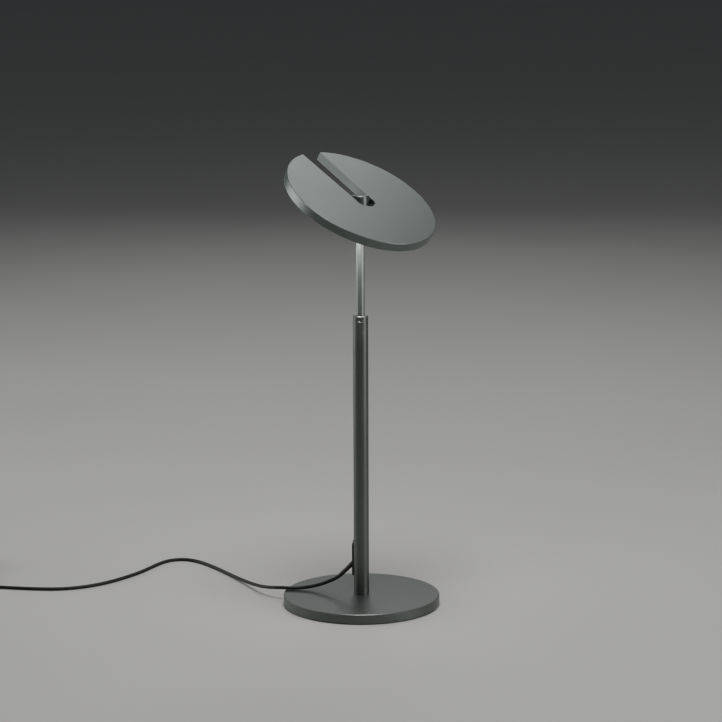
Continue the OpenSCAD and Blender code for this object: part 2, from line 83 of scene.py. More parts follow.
HEAD_TILT = math.radians(30)
HEAD_T = 10.5 * MM
HEAD_SKIN = 2.5 * MM
HEAD_WALL = 3 * MM
SLOT_R = 12.3 * MM
SLOT_CENTRE = 5 * MM
SLOT_FLARE = math.radians(1.05)
HINGE_BLOCK = Vector((16 * MM, 8.6 * MM))
EDGE = 0.6 * MM
COLUMN_WALL = 1.8 * MM
COLUMN_LIP = 0.4 * MM
COLLAR_ROUND = 0.8 * MM
GROOVE_H = 0.6 * MM
BASE_LIP = 4 * MM
BOLT_BORE_R = 4.3 * MM
COUNTERBORE_R = 9 * MM
STEM_GAP = 0.3 * MM
DISC_STEPS = 192
TUBE_STEPS = 96
HEAD_RIM_STEPS = 224
SLOT_END_STEPS = 40
MANY_CORNERS = 200

CORD_D = 4 * MM
OUTLET_AZ = math.radians(207)
OUTLET_LOW = 33 * MM
OUTLET_HIGH = 72 * MM
OUTLET_W = 6 * MM
OUTLET_STAND = 1.9 * MM
OUTLET_EXIT = 47 * MM
RELIEF_L = 22 * MM
BUTTON_Z = 73.7 * MM

COIL_R = 24 * MM
COIL_TURNS = 7.25
TURN_GAP = 0.1 * MM
POINTS_PER_TURN = 16
CURLS = 17
TIE_T = 0.8 * MM
TIE_W = 10 * MM
TIE_BEND = 2 * MM
TIE_AZ = math.radians(42)
JOIN_AZ = math.radians(300)
TAIL_AZ = math.radians(210)
TAIL_L = 34 * MM
SUPPLY = Vector((58 * MM, 34 * MM, 24 * MM))
CONTACT_D = 4 * MM
CONTACT_L = 19 * MM
CONTACT_PITCH = 19 * MM
CONTACT_SLEEVE = 0.55
SLEEVE_R = 0.94 * CONTACT_D / 2
PIN_R = 0.98 * CONTACT_D / 2
RIBS = 6
RIB = Vector((1.2 * MM, 0.8 * MM, 12 * MM))
RIB_START = 14 * MM
RIB_PITCH = 3 * MM

# The lead's route from the strain relief's tip to the coil, in millimetres
LEAD_ROUTE = [
    (-22.8, -11.6, 32.2), (-26, -13.2, 29.2), (-33.4, -17.1, 24.6), (-46, -24.4, 18.8),
    (-57.5, -32.2, 15.6), (-67.5, -40.2, 14.3), (-77.6, -46.7, 14.3), (-90, -50.2, 13),
    (-108.6, -48.6, 10.2), (-129.8, -41.9, 7.3), (-151.6, -33.2, 4.9), (-174.6, -24.2, 3.2),
    (-197.2, -15.9, 2.3), (-218.6, -9, 2.1), (-238.8, -3.3, 2.1), (-255.4, 0.4, 2.1),
    (-270.4, 2.4, 2.1), (-283, 1.3, 2.1), (-292.8, -3.4, 2.1), (-299, -11.5, 2.1),
    (-301, -22.5, 2.1), (-298.9, -38, 2.1), (-293.5, -58, 2.1), (-288.2, -79, 2.1),
    (-285.2, -99.5, 2.1), (-283.6, -124, 2.1), (-285.5, -150, 2.1), (-292.5, -173, 2.1),
    (-305, -193, 2.1), (-323, -209, 2.1), (-344, -223, 2.1), (-366, -236, 2.1),
    (-388, -249, 2.5), (-410, -262, 3),
]


# ---- Camera, floor and lights ----

CAMERA_AT = Vector((2.0204, -2.2433, 0.852))
CAMERA_HEADING = math.radians(42)
CAMERA_PITCH = math.radians(10.63)
CAMERA_ROLL = math.radians(-0.215)
LENS_MM = 134.6
SENSOR_MM = 36

# Each light: its name, its place, the point it is aimed at, its width and height, and its power
SOFTBOXES = [
    ("back_softbox", (-0.84, 1.31, 1.99), (0, 0, 0.45), (1.0, 0.9), 10.5),
    ("low_back_softbox", (-2.0, 2.2, 1.35), (0, 0, 0.1), (1.6, 0.8), 4.2),
    ("right_softbox", (2.27, 0.78, 0.62), (0, 0, 0.25), (0.8, 1.1), 21),
    ("left_softbox", (-2.1, -0.98, 0.62), (0, 0, 0.25), (1.5, 1.1), 23),
    ("overhead", (0.5, -0.4, 2.6), (0, 0, 0), (1.0, 1.0), 50),
]
# Small light under the head that stands in for the head's own light on the stem
GLOW = ("glow_under_head", (0.01, -0.04, 0.446), (0, 0, 0.425), (0.03, 0.02), 0.3)
SKY_COLOUR = (0.72, 0.75, 0.78, 1)
SKY_STRENGTH = 0.10
FLOOR_HALF = 20


def add_object(name, data):
    made = bpy.data.objects.new(name, data)
    bpy.context.scene.collection.objects.link(made)
    return made


def make_camera():
    data = bpy.data.cameras.new("camera")
    data.lens = LENS_MM
    data.sensor_width = SENSOR_MM
    data.clip_start = 0.1
    data.clip_end = 100
    camera = add_object("camera", data)
    turn = Matrix.Rotation(CAMERA_HEADING, 4, "Z")
    nod = Matrix.Rotation(math.pi / 2 - CAMERA_PITCH, 4, "X")
    roll = Matrix.Rotation(CAMERA_ROLL, 4, "Z")
    camera.matrix_world = Matrix.Translation(CAMERA_AT) @ turn @ nod @ roll
    bpy.context.scene.camera = camera


def softbox(name, place, aim, size, power):
    """A rectangular studio light at a place, aimed at a point."""
    data = bpy.data.lights.new(name, "AREA")
    data.shape = "RECTANGLE"
    data.size, data.size_y = size
    data.energy = power
    light = add_object(name, data)
    place, aim = Vector(place), Vector(aim)
    light.rotation_euler = (aim - place).to_track_quat("-Z", "Y").to_euler()
    light.location = place
    return light


def make_studio():
    for light in SOFTBOXES:
        softbox(*light)
    glow = softbox(*GLOW)
    glow.visible_camera = False
    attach(glow, "head")
    world = bpy.data.worlds.new("studio")
    world.use_nodes = True
    sky = world.node_tree.nodes["Background"]
    sky.inputs["Color"].default_value = SKY_COLOUR
    sky.inputs["Strength"].default_value = SKY_STRENGTH
    bpy.context.scene.world = world


# ---- Materials ----


class Finish:
    """A material in the making: one shader, and textures that read the piece's own coordinates."""

    def __init__(self, name, colour, roughness, metallic=0.0):
        self.material = bpy.data.materials.new(name)
        self.material.use_nodes = True
        self.tree = self.material.node_tree
        self.shader = self.tree.nodes["Principled BSDF"]
        self.colour = colour
        self.set("Base Color", (*colour, 1))
        self.set("Roughness", roughness)
        self.set("Metallic", metallic)
        self.coords = self.tree.nodes.new("ShaderNodeTexCoord").outputs["Object"]

    def set(self, socket, value):
        self.shader.inputs[socket].default_value = value

    def link(self, out, into):
        self.tree.links.new(out, into)

    def noise(self, scale, detail=3.0, stretch=(1, 1, 1), turn=(0, 0, 0)):
        """Noise with that many grains a metre, stretched by a factor along each axis of a turned frame."""
        mapping = self.tree.nodes.new("ShaderNodeMapping")
        mapping.vector_type = "TEXTURE"
        mapping.inputs["Scale"].default_value = stretch
        mapping.inputs["Rotation"].default_value = turn
        self.link(self.coords, mapping.inputs["Vector"])
        texture = self.tree.nodes.new("ShaderNodeTexNoise")
        texture.inputs["Scale"].default_value = scale
        texture.inputs["Detail"].default_value = detail
        self.link(mapping.outputs["Vector"], texture.inputs["Vector"])
        return texture.outputs["Fac"]

    def cells(self, scale):
        """A value that jumps from cell to cell, as between metal flakes."""
        texture = self.tree.nodes.new("ShaderNodeTexVoronoi")
        texture.inputs["Scale"].default_value = scale
        self.link(self.coords, texture.inputs["Vector"])
        split = self.tree.nodes.new("ShaderNodeSeparateColor")
        self.link(texture.outputs["Color"], split.inputs["Color"])
        return split.outputs["Red"]

    def to_range(self, value, low, high, from_low=0.3, from_high=0.7):
        node = self.tree.nodes.new("ShaderNodeMapRange")
        node.inputs["From Min"].default_value = from_low
        node.inputs["From Max"].default_value = from_high
        node.inputs["To Min"].default_value = low
        node.inputs["To Max"].default_value = high
        self.link(value, node.inputs["Value"])
        return node.outputs["Result"]

    def math(self, how, first, second):
        node = self.tree.nodes.new("ShaderNodeMath")
        node.operation = how
        for value, socket in ((first, node.inputs[0]), (second, node.inputs[1])):
            if isinstance(value, (int, float)):
                socket.default_value = value
            else:
                self.link(value, socket)
        return node.outputs["Value"]

    def mixed(self, first, second, share):
        """The sum of two values, of which the first has that share."""
        return self.math("ADD", self.math("MULTIPLY", first, share), self.math("MULTIPLY", second, 1 - share))

    def edges(self, radius):
        """1 on an edge that this radius would round over, and 0 away from it."""
        rounded = self.tree.nodes.new("ShaderNodeBevel")
        rounded.samples = 4
        rounded.inputs["Radius"].default_value = radius
        flat = self.tree.nodes.new("ShaderNodeNewGeometry")
        dot = self.tree.nodes.new("ShaderNodeVectorMath")
        dot.operation = "DOT_PRODUCT"
        self.link(rounded.outputs["Normal"], dot.inputs[0])
        self.link(flat.outputs["Normal"], dot.inputs[1])
        return self.to_range(dot.outputs["Value"], low=1.0, high=0.0, from_low=0.86, from_high=0.995)

    def sides(self, axis_tilt):
        """1 where the surface runs along an axis tilted from Z about Y, and 0 across it."""
        normal = self.tree.nodes["Texture Coordinate"].outputs["Normal"]
        dot = self.tree.nodes.new("ShaderNodeVectorMath")
        dot.operation = "DOT_PRODUCT"
        dot.inputs[1].default_value = (math.sin(axis_tilt), 0, math.cos(axis_tilt))
        self.link(normal, dot.inputs[0])
        facing = self.math("ABSOLUTE", dot.outputs["Value"], 0)
        return self.to_range(facing, low=1.0, high=0.0, from_low=0.2, from_high=0.6)

    def tint(self, value, dark=0.85, light=1.15):
        """Colours the surface from a darker to a lighter shade of its own colour."""
        ramp = self.tree.nodes.new("ShaderNodeMix")
        ramp.data_type = "RGBA"
        ramp.inputs["A"].default_value = (*(c * dark for c in self.colour), 1)
        ramp.inputs["B"].default_value = (*(min(1, c * light) for c in self.colour), 1)
        self.link(value, ramp.inputs["Factor"])
        self.link(ramp.outputs["Result"], self.shader.inputs["Base Color"])
        return ramp

    def tint_edges(self, mask, below, light):
        """Lets the edges show a lighter colour over the surface's own."""
        mix = self.tree.nodes.new("ShaderNodeMix")
        mix.data_type = "RGBA"
        self.link(mask, mix.inputs["Factor"])
        self.link(below.outputs["Result"], mix.inputs["A"])
        mix.inputs["B"].default_value = (*(min(1, c * light) for c in self.colour), 1)
        self.link(mix.outputs["Result"], self.shader.inputs["Base Color"])

    def roughen(self, value, low, high):
        self.link(self.to_range(value, low, high), self.shader.inputs["Roughness"])

    def bump(self, height, depth):
        """Relief of that depth, in metres."""
        node = self.tree.nodes.new("ShaderNodeBump")
        node.inputs["Strength"].default_value = 1.0
        node.inputs["Distance"].default_value = depth
        self.link(height, node.inputs["Height"])
        self.link(node.outputs["Normal"], self.shader.inputs["Normal"])


def satin_coat(name, colour, wear_and_highlight, axis_tilt=0.0):
    """Metallic coat with fine flakes, a faint orange peel, edges painted lighter (partly wear, partly a painted
    highlight along the chamfers), and fine machining lines on the sides that run along the piece's axis."""
    finish = Finish(name, colour, roughness=0.4, metallic=0.85)
    flakes = finish.cells(scale=3200)
    clouds = finish.noise(scale=38, detail=4)
    peel = finish.noise(scale=1500, detail=2)
    lines = finish.noise(scale=1900, detail=2, stretch=(1, 1, 40), turn=(0, axis_tilt, 0))
    sides = finish.sides(axis_tilt)
    body = finish.tint(finish.mixed(flakes, clouds, share=0.45), dark=0.74, light=1.26)
    # Edges painted lighter: partly wear, partly a painted highlight along the chamfers.
    finish.tint_edges(finish.math("MULTIPLY", finish.edges(radius=EDGE), wear_and_highlight), body, light=3.0)
    finish.roughen(finish.mixed(flakes, clouds, share=0.4), low=0.35, high=0.45)
    relief = finish.math("ADD", finish.math("MULTIPLY", peel, 0.5), finish.math("MULTIPLY", lines, sides))
    finish.bump(relief, depth=14 * MICRON)
    return finish.material


def satin_grey():
    return satin_coat("satin_grey_coat", (0.110, 0.120, 0.113), wear_and_highlight=0.5)


def head_grey():
    return satin_coat("head_grey_coat", (0.130, 0.148, 0.139), wear_and_highlight=0.6, axis_tilt=HEAD_TILT)


def stem_metal():
    """Tube with fine marks of brushing around it."""
    finish = Finish("brushed_stem", (0.19, 0.207, 0.195), roughness=0.32, metallic=0.85)
    brushing = finish.noise(scale=2600, detail=3, stretch=(20, 20, 1))
    finish.tint(brushing, dark=0.92, light=1.08)
    finish.roughen(finish.noise(scale=60, detail=3), low=0.32, high=0.40)
    finish.bump(brushing, depth=2 * MICRON)
    return finish.material


def turned_metal(name, colour, roughness):
    """Turned or drawn metal with faint rings and smudges."""
    finish = Finish(name, colour, roughness, metallic=1.0)
    rings = finish.noise(scale=1800, detail=2, stretch=(10, 10, 1))
    smudges = finish.noise(scale=120, detail=4)
    finish.tint(smudges, dark=0.82, light=1.1)
    finish.roughen(smudges, low=roughness - 0.06, high=roughness + 0.1)
    finish.bump(rings, depth=8 * MICRON)
    return finish.material


def steel():
    return turned_metal("turned_steel", (0.66, 0.67, 0.67), roughness=0.22)


def black_screw():
    return turned_metal("blackened_steel", (0.035, 0.035, 0.036), roughness=0.42)


def bronze():
    return turned_metal("sintered_bronze", (0.56, 0.38, 0.19), roughness=0.45)


def moulded(name, colour, roughness, grain, depth, spread=0.12):
    """Moulded plastic or rubber: a fine eroded grain, and slight changes of shade and gloss."""
    finish = Finish(name, colour, roughness)
    grains = finish.noise(scale=grain, detail=3)
    clouds = finish.noise(scale=70, detail=3)
    finish.tint(finish.mixed(grains, clouds, share=0.4), dark=1 - spread, light=1 + spread)
    finish.roughen(clouds, low=roughness - 0.06, high=roughness + 0.06)
    finish.bump(grains, depth)
    return finish.material


def pad_rubber():
    return moulded(
        "pad_rubber", (0.022, 0.022, 0.023), roughness=0.75, grain=1400, depth=50 * MICRON, spread=0.3)


def brake_rubber():
    return moulded(
        "brake_rubber", (0.03, 0.03, 0.031), roughness=0.7, grain=1900, depth=30 * MICRON, spread=0.3)


def black_plastic():
    return moulded(
        "black_plastic", (0.012, 0.0123, 0.0126), roughness=0.56, grain=2600, depth=20 * MICRON, spread=0.25)


def wire_white():
    return moulded(
        "white_wire", (0.74, 0.73, 0.69), roughness=0.45, grain=900, depth=10 * MICRON)


def bearing_plastic():
    return moulded(
        "bearing_plastic", (0.70, 0.68, 0.61), roughness=0.4, grain=1500, depth=10 * MICRON)


def film():
    return moulded(
        "thermal_film", (0.50, 0.49, 0.56), roughness=0.65, grain=1200, depth=30 * MICRON)


def frame_white():
    return moulded(
        "white_frame", (0.86, 0.86, 0.84), roughness=0.5, grain=1800, depth=10 * MICRON, spread=0.05)


def led():
    return moulded(
        "phosphor", (0.88, 0.70, 0.22), roughness=0.5, grain=2400, depth=10 * MICRON)


def lead_black():
    """Smooth flexible sheath with long faint streaks of gloss."""
    finish = Finish("lead_sheath", (0.010, 0.0102, 0.0104), roughness=0.5)
    finish.set("Specular IOR Level", 0.3)
    streaks = finish.noise(scale=240, detail=4, stretch=(2.2, 2.2, 1))
    grains = finish.noise(scale=2400, detail=2)
    finish.tint(streaks, dark=0.7, light=1.4)
    finish.roughen(streaks, low=0.46, high=0.62)
    finish.bump(grains, depth=15 * MICRON)
    return finish.material


def board(name, colour):
    """Solder mask over copper tracks, which stand up from it a little."""
    finish = Finish(name, colour, roughness=0.35)
    tracks = finish.to_range(finish.cells(scale=420), low=0, high=1, from_low=0.45, from_high=0.55)
    weave = finish.noise(scale=1700, detail=2)
    finish.tint(finish.mixed(tracks, weave, share=0.7), dark=0.9, light=1.08)
    finish.roughen(weave, low=0.3, high=0.42)
    finish.bump(tracks, depth=30 * MICRON)
    return finish.material


def board_white():
    return board("white_board", (0.80, 0.80, 0.77))


def board_green():
    return board("green_board", (0.03, 0.17, 0.08))


def opal():
    """Milky diffuser, lit from behind."""
    finish = Finish("opal_diffuser", (0.86, 0.85, 0.81), roughness=0.45)
    finish.set("Emission Color", (1.0, 0.93, 0.84, 1))
    finish.set("Emission Strength", 3.5)
    finish.set("Subsurface Weight", 0.2)
    finish.set("Subsurface Radius", (0.004, 0.0038, 0.0034))
    milk = finish.noise(scale=240, detail=3)
    finish.tint(milk, dark=0.95, light=1.05)
    finish.roughen(milk, low=0.4, high=0.5)
    finish.bump(finish.noise(scale=2100, detail=2), depth=10 * MICRON)
    return finish.material


def floor_paint():
    """Plain pale floor with a barely visible unevenness."""
    finish = Finish("pale_floor", (0.405, 0.40, 0.39), roughness=0.7)
    clouds = finish.noise(scale=2.2, detail=5)
    finish.tint(clouds, dark=0.96, light=1.04)
    finish.roughen(clouds, low=0.62, high=0.78)
    return finish.material


MAKERS = [
    satin_grey, head_grey, stem_metal, steel, black_screw, pad_rubber, brake_rubber, black_plastic,
    lead_black, wire_white, bearing_plastic, bronze, board_white, board_green, film, led,
    frame_white, opal,
]
finishes = {make.__name__: make() for make in MAKERS}


def dress_frame():
    """Gives each carried node the finish of its own material slot."""
    for part in frame["record"]["subparts"]:
        for slot in frame["nodes"][part["node"]].material_slots:
            slot.material = finishes[part["material_slot"]]


# ---- Mesh helpers ----

SHARP_SHADING = math.radians(32)
SHARP_EDGE = math.radians(35)
MERGE_WITHIN = 0.000001


def spin_outline(bm, outline, steps):
    """Turns an outline of (radius, height) points about Z. It is closed unless both ends lie on the axis."""
    points = [bm.verts.new((r, 0, z)) for r, z in outline]
    edges = [bm.edges.new(pair) for pair in zip(points, points[1:])]
    if outline[0][0] > 0 or outline[-1][0] > 0:
        edges.append(bm.edges.new((points[-1], points[0])))
    bmesh.ops.spin(
        bm, geom=points + edges, cent=(0, 0, 0), axis=(0, 0, 1), angle=2 * math.pi, steps=steps,
        use_merge=True, use_duplicate=False)
    bmesh.ops.remove_doubles(bm, verts=bm.verts, dist=MERGE_WITHIN)
    bmesh.ops.recalc_face_normals(bm, faces=bm.faces)


def soften(bm, width, segments=2, sharper_than=SHARP_EDGE, only=None):
    """Rounds over the edges that are sharp, or those of them that a test picks."""
    sharp = [e for e in bm.edges if e.is_manifold and e.calc_face_angle() > sharper_than]
    if only:
        sharp = [e for e in sharp if only(e)]
    bmesh.ops.bevel(
        bm, geom=sharp, offset=width, offset_type="OFFSET", segments=segments, profile=0.5,
        affect="EDGES", material=-1, clamp_overlap=True)


def rounded_block(bm, size, centre, corner, edge):
    """A block whose upright edges are rounded a lot, and the others a little."""
    block = bmesh.ops.create_cube(bm, size=1)["verts"]
    bmesh.ops.scale(bm, vec=size, verts=block)
    own = {e for v in block for e in v.link_edges}
    along = [e for e in own if abs(e.verts[0].co.z - e.verts[1].co.z) > size.z / 2]
    made = bmesh.ops.bevel(
        bm, geom=along, offset=corner, offset_type="OFFSET", segments=6, profile=0.5,
        affect="EDGES", material=-1)
    faces = {f for v in made["verts"] for f in v.link_faces}
    whole = {v for f in faces for v in f.verts}
    rims = [e for e in {e for v in whole for e in v.link_edges}
            if e.is_manifold and e.calc_face_angle() > math.radians(60)]
    made = bmesh.ops.bevel(
        bm, geom=rims, offset=edge, offset_type="OFFSET", segments=3, profile=0.5,
        affect="EDGES", material=-1)
    whole = {v for f in made["faces"] for v in f.verts} | {v for v in whole if v.is_valid}
    bmesh.ops.translate(bm, vec=centre, verts=list(whole))


def finish_piece(bm, name, body, slot, place=None, replaces=()):
    """Makes a mesh the finished piece of a body, placed in its vertices."""
    if place:
        bmesh.ops.transform(bm, matrix=place, verts=bm.verts)
    bmesh.ops.recalc_face_normals(bm, faces=bm.faces)
    mesh = bpy.data.meshes.new(name)
    bm.to_mesh(mesh)
    bm.free()
    mesh.shade_smooth()
    mesh.set_sharp_from_angle(angle=SHARP_SHADING)
    mesh.materials.append(finishes[slot])
    made = add_object(name, mesh)
    even = made.modifiers.new("even_shading", "WEIGHTED_NORMAL")
    even.keep_sharp = True
    even.weight = 50
    if body:
        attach(made, body)
    if replaces:
        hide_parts(*replaces)
    return made


# ---- Base ----


def make_base():
    """Round disc: rounded rims, a recess for the pad, a seat for the column and the bolt's counterbore."""
    seat_r = column_high.x + SKIN
    lip_r = base_high.x - BASE_LIP
    outline = [
        (BOLT_BORE_R, washer_high.z), (COUNTERBORE_R, washer_high.z), (COUNTERBORE_R, pad_high.z),
        (lip_r, pad_high.z), (lip_r, base_low.z), (base_high.x, base_low.z),
        (base_high.x, base_high.z), (seat_r, base_high.z), (seat_r, column_low.z),
        (BOLT_BORE_R, column_low.z),
    ]
    bm = bmesh.new()
    spin_outline(bm, outline, DISC_STEPS)
    soften(bm, EDGE, 1, only=lambda e: e.verts[0].co.xy.length > base_high.x - MM)
    finish_piece(bm, "base_disc", "base", "satin_grey", replaces=["base_plate"])


def make_column():
    """Tube of the column, its upper rim rounded, and the collar on it with a groove between them."""
    outer = column_high.x
    bore = outer - COLUMN_WALL
    bm = bmesh.new()
    spin_outline(
        bm, [(bore, column_low.z), (outer, column_low.z), (outer, column_high.z), (bore, column_high.z)],
        TUBE_STEPS)
    soften(bm, COLUMN_LIP, 1, only=lambda e: min(v.co.z for v in e.verts) > column_high.z - MM
           and e.verts[0].co.xy.length > outer - EDGE)
    finish_piece(bm, "column", "base", "satin_grey", replaces=["column_tube"])
    groove_top = column_high.z + GROOVE_H
    bush_r = bush_high.x
    mouth_r = stem_high.x + STEM_GAP
    bm = bmesh.new()
    spin_outline(bm, [
        (bush_r, collar_low.z), (bore, collar_low.z), (bore, column_high.z), (outer - EDGE, column_high.z),
        (outer - EDGE, groove_top), (outer, groove_top), (outer, collar_high.z),
        (mouth_r, collar_high.z), (mouth_r, bush_high.z), (bush_r, bush_high.z)], TUBE_STEPS)
    soften(bm, 0.15 * MM, 2, only=lambda e: e.verts[0].co.xy.length > outer - SKIN
           and max(v.co.z for v in e.verts) < groove_top + NEAR)
    soften(bm, COLLAR_ROUND, 1, only=lambda e: min(v.co.z for v in e.verts) > collar_high.z - NEAR
           and e.verts[0].co.xy.length > outer - SKIN)
    finish_piece(bm, "collar", "base", "satin_grey", replaces=["column_collar"])


# ---- Head ----


def head_outline(bm, inset, z):
    """Draws the head's outline, with its slot, drawn in by an inset. Returns its edges."""
    head_r = head_high.y - inset
    end_r = SLOT_R + inset
    touch = Vector((SLOT_CENTRE + end_r * math.sin(SLOT_FLARE), end_r * math.cos(SLOT_FLARE)))
    side = Vector((-math.cos(SLOT_FLARE), math.sin(SLOT_FLARE)))
    along = -touch.dot(side) + math.sqrt(touch.dot(side) ** 2 - touch.length_squared + head_r ** 2)
    mouth = touch + along * side
    sweep = 2 * math.atan2(mouth.y, mouth.x)
    before = set(bm.edges)
    for start, centre, angle, steps in (
            ((mouth.x, -mouth.y, z), (0, 0, z), sweep, HEAD_RIM_STEPS),
            ((touch.x, -touch.y, z), (SLOT_CENTRE, 0, z), math.pi - 2 * SLOT_FLARE, SLOT_END_STEPS)):
        point = bm.verts.new(start)
        bmesh.ops.spin(
            bm, geom=[point], cent=centre, axis=(0, 0, 1), angle=angle, steps=steps,
            use_merge=False, use_duplicate=False)
    drawn = [e for e in bm.edges if e not in before]
    ends = [v for e in drawn for v in e.verts if len(v.link_edges) == 1]
    for half in (1, -1):
        drawn.append(bm.edges.new([v for v in ends if v.co.y * half > 0]))
    return drawn


def make_head():
    """The head's cover: a flat shell with a slot, open below, and two solid blocks that hold the hinge."""
    bm = bmesh.new()
    low = -HEAD_T / 2
    bmesh.ops.contextual_create(bm, geom=head_outline(bm, 0, low))
    skin = bmesh.ops.extrude_face_region(bm, geom=bm.faces[:])
    top = [v for v in skin["geom"] if isinstance(v, bmesh.types.BMVert)]
    bmesh.ops.translate(bm, vec=(0, 0, HEAD_T), verts=top)
    bmesh.ops.recalc_face_normals(bm, faces=bm.faces)
    soften(bm, EDGE, 1, sharper_than=math.radians(40))
    underside = [f for f in bm.faces if f.normal.z < -0.99 and len(f.verts) > MANY_CORNERS]
    around = [e for f in underside for e in f.edges]
    bmesh.ops.delete(bm, geom=underside, context="FACES_ONLY")
    within = head_outline(bm, HEAD_WALL, low)
    walls = bmesh.ops.extrude_edge_only(bm, edges=within)
    roof = [v for v in walls["geom"] if isinstance(v, bmesh.types.BMVert)]
    roof_edges = [e for e in walls["geom"] if isinstance(e, bmesh.types.BMEdge)]
    bmesh.ops.translate(bm, vec=(0, 0, HEAD_T - HEAD_SKIN), verts=roof)
    bmesh.ops.contextual_create(bm, geom=roof_edges)
    bmesh.ops.triangle_fill(
        bm, edges=around + within, use_beauty=False, use_dissolve=False, normal=(0, 0, -1))
    bmesh.ops.recalc_face_normals(bm, faces=bm.faces)
    gap = 0.2 * MM
    depth = HEAD_T - HEAD_SKIN / 2
    block = Vector((HINGE_BLOCK.x, HINGE_BLOCK.y - 2 * gap, depth))
    for side in (1, -1):
        centre = Vector((0, side * (SLOT_R + HINGE_BLOCK.y / 2 + gap), (depth - HEAD_T) / 2))
        rounded_block(bm, block, centre, corner=0.8 * MM, edge=0.3 * MM)
    place = Matrix.Translation(hinge) @ Matrix.Rotation(HEAD_TILT, 4, "Y")
    finish_piece(bm, "head_cover", "head", "head_grey", place, ["head_shell"])


# ---- Outlet, button and strain relief ----


def outlet_place(height, lean=0.0):
    """Places a piece on the column's outlet side: its Z points out of the column, leaning down by lean."""
    face = Matrix.Rotation(OUTLET_AZ, 4, "Z")
    out = Matrix.Translation((column_high.x + OUTLET_STAND, 0, height))
    return face @ out @ Matrix.Rotation(math.pi / 2 + lean, 4, "Y")


def make_outlet():
    """Rubber strip on the column, with round ends, from which the strain relief comes out."""
    bm = bmesh.new()
    long = OUTLET_HIGH - OUTLET_LOW
    thick = 3 * MM
    size = Vector((long, OUTLET_W, thick))
    rounded_block(bm, size, Vector((0, 0, -thick / 2)), corner=OUTLET_W / 2 - SKIN, edge=0.7 * MM)
    finish_piece(
        bm, "outlet_strip", "base", "black_plastic",
        outlet_place((OUTLET_LOW + OUTLET_HIGH) / 2), ["cable_outlet"])


def make_button():
    """Domed metal button over the outlet strip."""
    bm = bmesh.new()
    r = 1.6 * MM
    rise = 0.75 * r
    shank_r = 0.6 * r
    shank_end = -2 * MM
    rim = -0.6 * MM
    sunk = 1.2 * MM
    angles = [math.radians(15 * k) for k in range(6)]
    dome = [(r * math.cos(a), rise * math.sin(a)) for a in angles]
    outline = [(0, shank_end), (shank_r, shank_end), (shank_r, rim), (r, rim), *dome, (0, rise)]
    spin_outline(bm, outline, steps=32)
    place = outlet_place(BUTTON_Z) @ Matrix.Translation((0, 0, -sunk))
    finish_piece(bm, "button", "base", "steel", place, ["outlet_button"])


def make_relief():
    """Tapered rubber sleeve with a row of grooves, leaning down at 45 degrees."""
    bm = bmesh.new()
    root_r = 2.8 * MM
    tip_r = 2.35 * MM
    grooves = 6
    first = 4 * MM
    pitch = 2.4 * MM
    cut = 0.4 * MM
    slope = 0.3 * MM
    flat = 0.6 * MM
    root = -3 * MM
    collar_end = 1 * MM
    tip_round = 0.2 * MM
    tip_start = RELIEF_L - 1 * MM
    outline = [(0, root), (root_r, root), (root_r, collar_end)]
    for k in range(grooves):
        z = first + k * pitch
        r = root_r + (tip_r - root_r) * z / RELIEF_L
        floor_end = z + slope + flat
        outline += [(r, z), (r - cut, z + slope), (r - cut, floor_end), (r, floor_end + slope)]
    outline += [(tip_r, tip_start), (tip_r - tip_round, RELIEF_L), (0, RELIEF_L)]
    spin_outline(bm, outline, steps=40)
    return finish_piece(
        bm, "relief_sleeve", "base", "black_plastic", outlet_place(OUTLET_EXIT, math.pi / 4),
        ["strain_relief"])


# ---- Lead ----

coil_centre = Vector(((coil_low.x + coil_high.x) / 2, (coil_low.y + coil_high.y) / 2, 0))
turn_z = coil_low.z + TURN_GAP + CORD_D / 2
layer_pitch = CORD_D + TURN_GAP
OUTERMOST = 1.5
STEP_TURNS = 1 / 3
# Each step of the winding: when it starts, in turns, and how many diameters it goes out and up
WINDING = [
    (2 / 3, -1, 0), (5 / 3, -1, 0), (8 / 3, -1, 0), (10 / 3, 0, 1), (4, 1, 0), (5, 1, 0), (6, 1, 0),
]


def smooth_step(t):
    t = min(1, max(0, t))
    return t * t * (3 - 2 * t)


def coil_points():
    """The lead's turns: from the outside in on the floor, then out again on top of them."""
    points = []
    for i in range(round(COIL_TURNS * POINTS_PER_TURN) + 1):
        turns = i / POINTS_PER_TURN
        done = [smooth_step((turns - start) / STEP_TURNS) for start, _, _ in WINDING]
        across = OUTERMOST + sum(d * step[1] for d, step in zip(done, WINDING))
        layer = sum(d * step[2] for d, step in zip(done, WINDING))
        r = COIL_R + across * CORD_D
        angle = JOIN_AZ - 2 * math.pi * turns
        around = Vector((r * math.cos(angle), r * math.sin(angle), turn_z + layer * layer_pitch))
        points.append(coil_centre + around)
    return points


def tail_place():
    """Places a piece where the lead leaves the coil: X runs along the lead, and Z = 0 is the floor."""
    r = COIL_R + OUTERMOST * CORD_D
    start = coil_centre + Vector((r * math.cos(TAIL_AZ), r * math.sin(TAIL_AZ), 0))
    return Matrix.Translation(start) @ Matrix.Rotation(TAIL_AZ - math.pi / 2, 4, "Z")


def make_lead():
    """The whole lead: along its route, round its coil and into the supply."""
    top_z = turn_z + layer_pitch
    rise = SUPPLY.z / 2 - top_z
    tail = [tail_place() @ Vector((TAIL_L * s, 0, top_z + rise * smooth_step(s))) for s in (0.33, 0.66, 1)]
    route = [Vector(p) * MM for p in LEAD_ROUTE]
    points = route[:-1] + coil_points() + tail
    data = bpy.data.curves.new("lead", "CURVE")
    data.dimensions = "3D"
    data.bevel_depth = CORD_D / 2
    data.bevel_resolution = 4
    data.resolution_u = 6
    data.use_fill_caps = True
    spline = data.splines.new("BEZIER")
    spline.bezier_points.add(len(points) - 1)
    for knot, place in zip(spline.bezier_points, points):
        knot.co = place
        knot.handle_left_type = "AUTO"
        knot.handle_right_type = "AUTO"
    data.materials.append(finishes["lead_black"])
    lead = add_object("lead", data)
    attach(lead, "base")
    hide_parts("mains_lead", "lead_coil", "lead_tail")
    return lead


